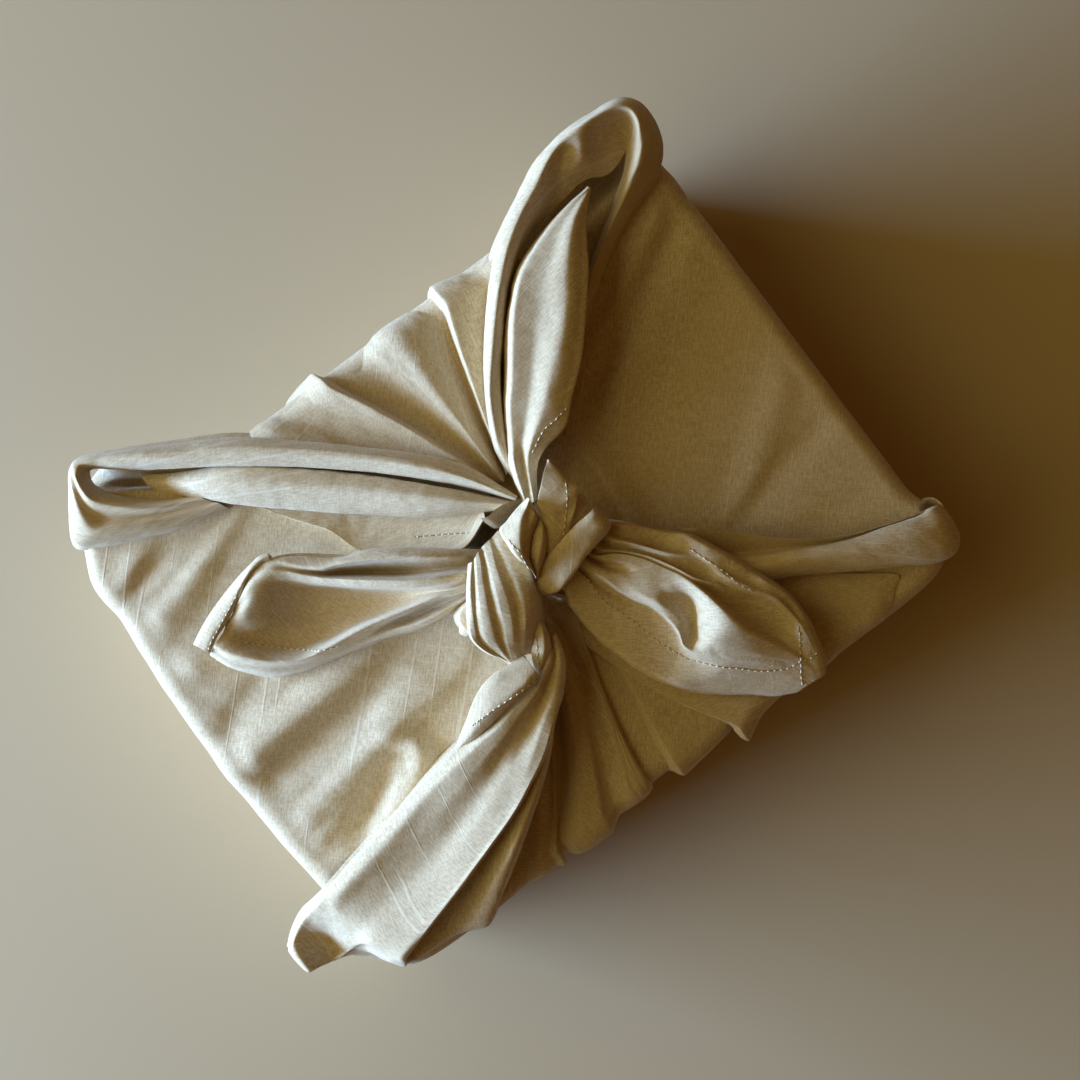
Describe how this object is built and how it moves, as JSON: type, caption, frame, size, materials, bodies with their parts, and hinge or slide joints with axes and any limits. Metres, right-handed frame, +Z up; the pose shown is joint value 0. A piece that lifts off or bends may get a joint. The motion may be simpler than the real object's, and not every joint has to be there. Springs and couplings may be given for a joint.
{
  "type": "furoshiki wrap",
  "caption": "Square cloth wrapped round a flat gift box, its fans of pleats and rolled edges drawn up to a knot on top with free tails.",
  "frame": {"origin": "middle of the flat base that the wrapped box rests on", "axes": "+Z up, +X along the long side of the box, +Y towards the side with the two looped corners"},
  "size_m": [0.2963, 0.232, 0.1122],
  "materials": {
    "cloth": "soft unbleached cotton, plain weave with slubs, matt"
  },
  "bodies": {
    "root": {"wrapping_cloth": "cloth"}
  },
  "joints": []
}
